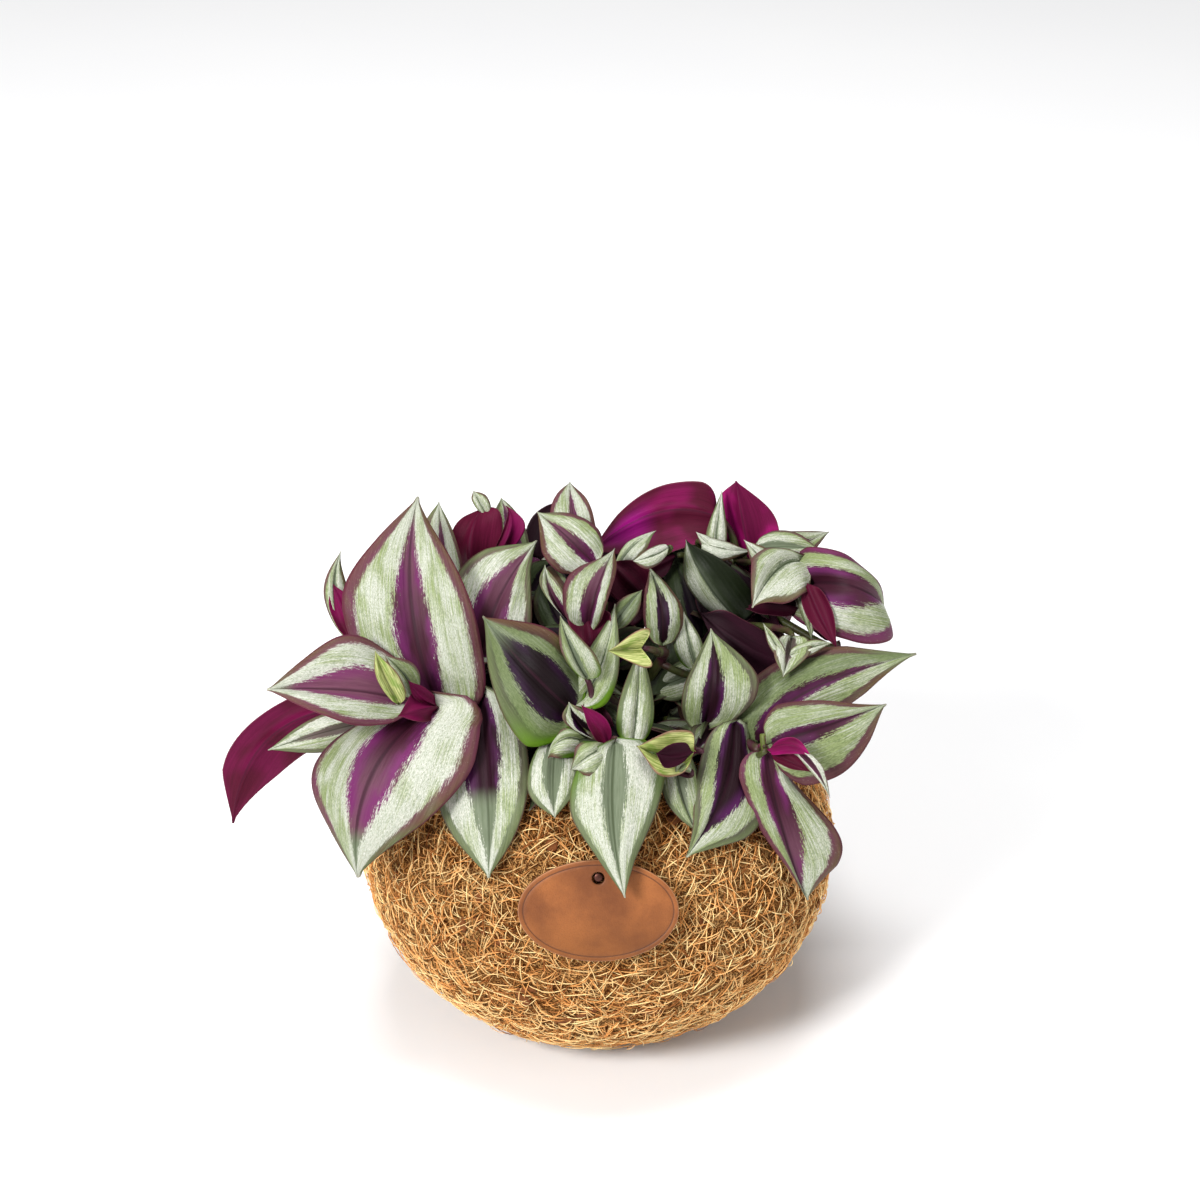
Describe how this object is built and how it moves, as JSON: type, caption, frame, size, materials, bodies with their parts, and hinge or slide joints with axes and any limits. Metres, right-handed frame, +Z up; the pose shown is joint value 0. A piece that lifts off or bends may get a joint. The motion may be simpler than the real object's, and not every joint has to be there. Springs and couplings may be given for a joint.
{
  "type": "potted violet hill inch plant",
  "caption": "Trailing inch plant with silver, green and violet striped leaves, in a nursery pot inside a round coir pot with an oval leather tag, for a shelf or table.",
  "frame": {"origin": "middle of the coir pot's flat base, on the surface it stands on", "axes": "+Z up, -Y towards the front with the tag, +X to the right seen from the front"},
  "size_m": [0.2169, 0.1824, 0.17],
  "materials": {
    "coir": "golden-brown coconut fibre, tangled and matt, with dark gaps and short chips of husk",
    "nursery_plastic": "thin black moulded plastic, satin",
    "potting_soil": "dark crumbly peat and bark, matt",
    "tag_leather": "tan vegetable-tanned leather, smooth, with a thin darker line inside its edge",
    "pin_wire": "small dark wire pin",
    "stem": "fleshy olive-green stem flushed purple, with ringed nodes and papery sheaths",
    "leaf": "fleshy leaf with two silver-green bands, a violet-plum middle and edge, and a burgundy underside, satin"
  },
  "bodies": {
    "root": {"coir_pot": "coir", "grow_pot": "nursery_plastic", "soil": "potting_soil", "tag": "tag_leather", "tag_pin": "pin_wire", "stem_a": "stem", "stem_b": "stem", "stem_c": "stem", "stem_l": "stem", "stem_t": "stem", "stem_u": "stem", "stem_w": "stem", "stem_r": "stem", "stem_m": "stem", "stem_h": "stem", "stem_k": "stem", "leaf_a1": "leaf", "leaf_a2": "leaf", "leaf_a3": "leaf", "leaf_a4": "leaf", "leaf_a6": "leaf", "leaf_d1": "leaf", "leaf_d2": "leaf", "leaf_b1": "leaf", "leaf_b2": "leaf", "leaf_b3": "leaf", "leaf_b5": "leaf", "leaf_v1": "leaf", "leaf_u1": "leaf", "leaf_u3": "leaf", "leaf_w1": "leaf", "leaf_w2": "leaf", "leaf_w3": "leaf", "leaf_m1": "leaf", "leaf_m2": "leaf", "leaf_l1": "leaf", "leaf_t1": "leaf", "leaf_t2": "leaf", "leaf_m3": "leaf", "leaf_m4": "leaf", "leaf_r1": "leaf", "leaf_r3": "leaf", "leaf_r4": "leaf", "leaf_r5": "leaf", "leaf_c1": "leaf", "leaf_c2": "leaf", "leaf_c3": "leaf", "leaf_c4": "leaf", "leaf_c5": "leaf", "leaf_c6": "leaf", "leaf_h1": "leaf", "leaf_h2": "leaf", "leaf_h3": "leaf", "leaf_h4": "leaf", "leaf_h5": "leaf", "leaf_h6": "leaf", "leaf_h7": "leaf", "leaf_h8": "leaf", "leaf_h9": "leaf", "leaf_h10": "leaf"}
  },
  "joints": []
}
